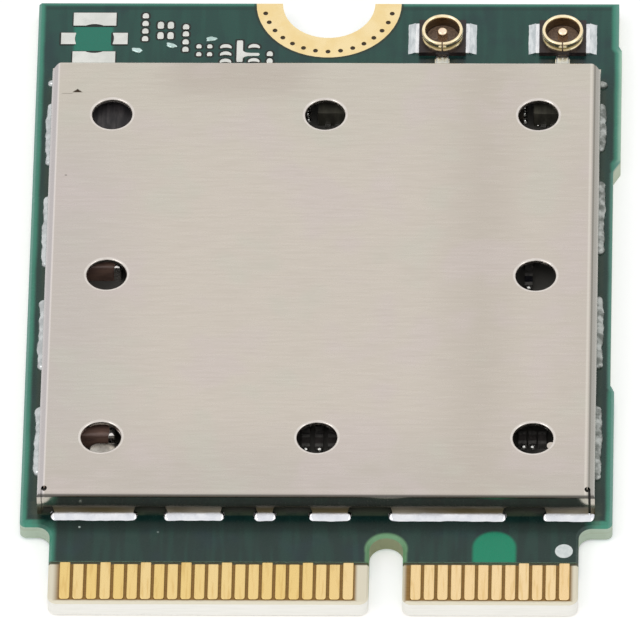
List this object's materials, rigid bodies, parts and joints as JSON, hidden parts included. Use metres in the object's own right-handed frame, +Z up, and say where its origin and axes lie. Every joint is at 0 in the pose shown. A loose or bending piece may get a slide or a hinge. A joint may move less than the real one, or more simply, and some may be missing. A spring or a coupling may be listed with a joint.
{
  "type": "laptop wireless network card",
  "caption": "Small plug-in wireless card: keyed edge connector at the front, soldered metal shield can with vents, half-round screw notch and coaxial antenna jacks at the back.",
  "frame": {"origin": "middle of the board's underside, at the level that the card lies on", "axes": "+Z up out of the component side, +Y along the board towards the screw notch, +X to the right seen from above with the edge connector in front"},
  "size_m": [0.0221, 0.03, 0.002],
  "materials": {
    "solder_mask": "satin green solder mask",
    "gold_contacts": "gold plate",
    "gold_plate": "gold plate",
    "tinned_steel": "fine brushed tin plate",
    "solder": "bright solder",
    "tinned_lands": "tinned",
    "black_moulding": "black moulding",
    "pale_gold": "pale gold plate",
    "white_print": "white print",
    "chip_moulding": "dark grey moulding",
    "filter_ceramic": "grey ceramic",
    "crystal_metal": "satin metal",
    "inductor_moulding": "dark moulding",
    "capacitor_ceramic": "brown ceramic",
    "resistor_coat": "black coat",
    "tin_ends": "tinned ends"
  },
  "bodies": {
    "root": {"circuit_board": "solder_mask", "top_edge_contacts": "gold_contacts", "bottom_edge_contacts": "gold_contacts", "top_screw_ring": "gold_plate", "bottom_screw_ring": "gold_plate", "shield_can": "tinned_steel", "can_solder": "solder", "main_jack_base": "black_moulding", "aux_jack_base": "black_moulding", "main_jack_ring": "pale_gold", "aux_jack_ring": "pale_gold", "main_jack_contact": "pale_gold", "aux_jack_contact": "pale_gold", "jack_solder": "solder", "signal_lands": "solder", "spare_jack_lands": "tinned_lands", "part_lands": "tinned_lands", "solder_blobs": "solder", "first_contact_mark": "white_print", "radio_chip": "chip_moulding", "power_chip": "chip_moulding", "memory_chip": "chip_moulding", "main_front_end_chip": "chip_moulding", "aux_front_end_chip": "chip_moulding", "main_antenna_filter": "filter_ceramic", "aux_antenna_filter": "filter_ceramic", "chip_pads": "solder", "crystal_tray": "filter_ceramic", "crystal_lid": "crystal_metal", "power_inductors": "inductor_moulding", "inductor_ends": "tin_ends", "large_capacitors": "capacitor_ceramic", "large_capacitor_ends": "tin_ends", "small_capacitors": "capacitor_ceramic", "small_resistors": "resistor_coat", "small_part_ends": "tin_ends"}
  },
  "joints": []
}
